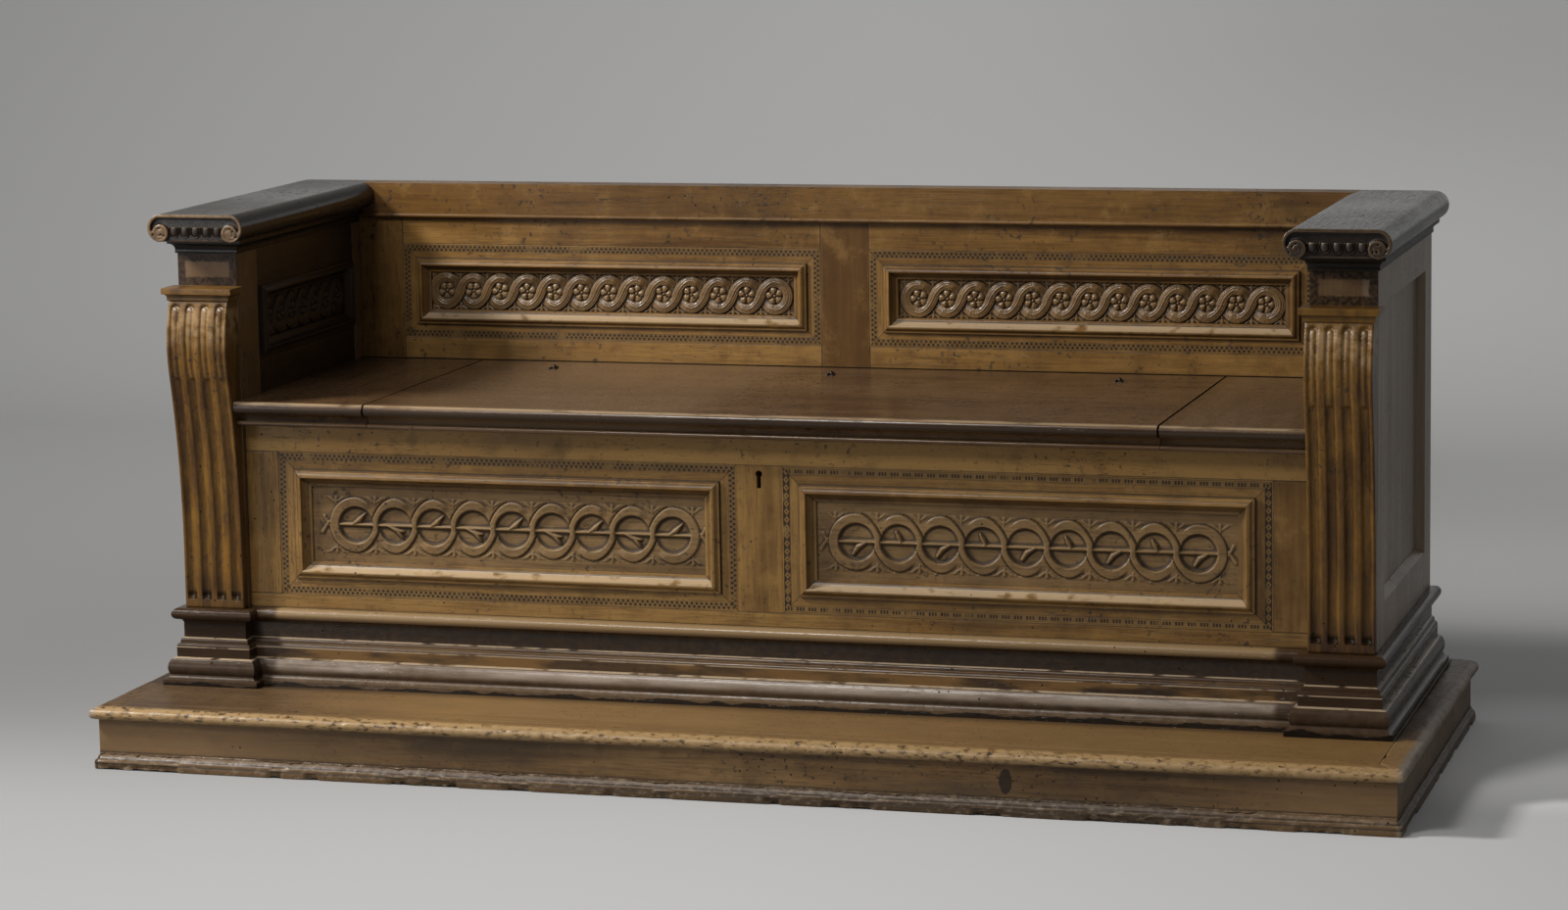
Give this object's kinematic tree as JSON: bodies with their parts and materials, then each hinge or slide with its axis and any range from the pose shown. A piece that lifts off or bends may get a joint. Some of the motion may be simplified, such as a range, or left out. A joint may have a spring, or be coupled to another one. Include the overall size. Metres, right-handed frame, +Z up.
{
  "type": "chest bench",
  "caption": "Long walnut chest-bench on a low platform, with a hinged seat lid, panelled back, and arms with fluted console fronts and scrolled tops.",
  "frame": {"origin": "centre of the platform's underside, on the floor", "axes": "+X along the bench, +Y to the back, +Z up; the front faces -Y"},
  "size_m": [2.16, 0.85, 0.897],
  "materials": {
    "golden_walnut": "waxed walnut, golden brown, worn arrises",
    "carved_walnut": "waxed carved walnut",
    "seat_walnut": "dark waxed walnut, polished by use",
    "dark_walnut": "near black waxed walnut with worn edges",
    "side_walnut": "greyed walnut",
    "plinth_walnut": "dark brown walnut with pale worn arrises",
    "platform_walnut": "brown walnut, wormed and chipped",
    "plain_wood": "unpolished inner wood",
    "iron": "forged iron, dark"
  },
  "bodies": {
    "bench": {"arm_left_console": "golden_walnut", "arm_left_crown": "dark_walnut", "arm_left_inner_boards": "golden_walnut", "arm_left_inner_frame": "golden_walnut", "arm_left_inner_panel": "carved_walnut", "arm_left_necking": "golden_walnut", "arm_left_side_frame": "side_walnut", "arm_left_side_panel": "side_walnut", "arm_left_top": "dark_walnut", "arm_right_console": "golden_walnut", "arm_right_crown": "dark_walnut", "arm_right_inner_boards": "golden_walnut", "arm_right_inner_frame": "golden_walnut", "arm_right_inner_panel": "carved_walnut", "arm_right_necking": "golden_walnut", "arm_right_side_frame": "side_walnut", "arm_right_side_panel": "side_walnut", "arm_right_top": "dark_walnut", "back_centre_stile": "golden_walnut", "back_end_stiles": "golden_walnut", "back_left_frame": "golden_walnut", "back_left_panel": "carved_walnut", "back_rails": "golden_walnut", "back_right_frame": "golden_walnut", "back_right_panel": "carved_walnut", "back_top_rail": "golden_walnut", "chest_back": "plain_wood", "chest_floor": "plain_wood", "front_bottom_rail": "golden_walnut", "front_centre_stile": "golden_walnut", "front_left_frame": "golden_walnut", "front_left_panel": "carved_walnut", "front_left_stile": "golden_walnut", "front_right_frame": "golden_walnut", "front_right_panel": "carved_walnut", "front_right_stile": "golden_walnut", "front_top_rail": "golden_walnut", "hinge_rail_eyes": "iron", "lock_case": "iron", "pedestal_left": "plinth_walnut", "pedestal_right": "plinth_walnut", "platform_foot": "platform_walnut", "platform_nosing": "platform_walnut", "platform_skirt": "platform_walnut", "platform_top": "platform_walnut", "plinth_back": "plain_wood", "plinth_front": "plinth_walnut", "plinth_left": "plinth_walnut", "plinth_right": "plinth_walnut", "seat_back_strip": "seat_walnut", "seat_left_end": "seat_walnut", "seat_left_moulding": "seat_walnut", "seat_right_end": "seat_walnut", "seat_right_moulding": "seat_walnut"},
    "lid": {"seat_lid": "seat_walnut", "lid_moulding": "seat_walnut", "hinge_lid_staples": "iron", "lock_catch": "iron"},
    "bolt": {"lock_bolt": "iron"}
  },
  "joints": [
    {"name": "lid_hinge", "type": "hinge", "parent": "bench", "child": "lid", "pos_m": [0, 0.2696, 0.586], "axis": [-1, 0, 0], "range_deg": [0, 104]},
    {"name": "bolt_slide", "type": "slide", "parent": "bench", "child": "bolt", "axis": [1, 0, 0], "range_m": [0, 0.018]}
  ]
}
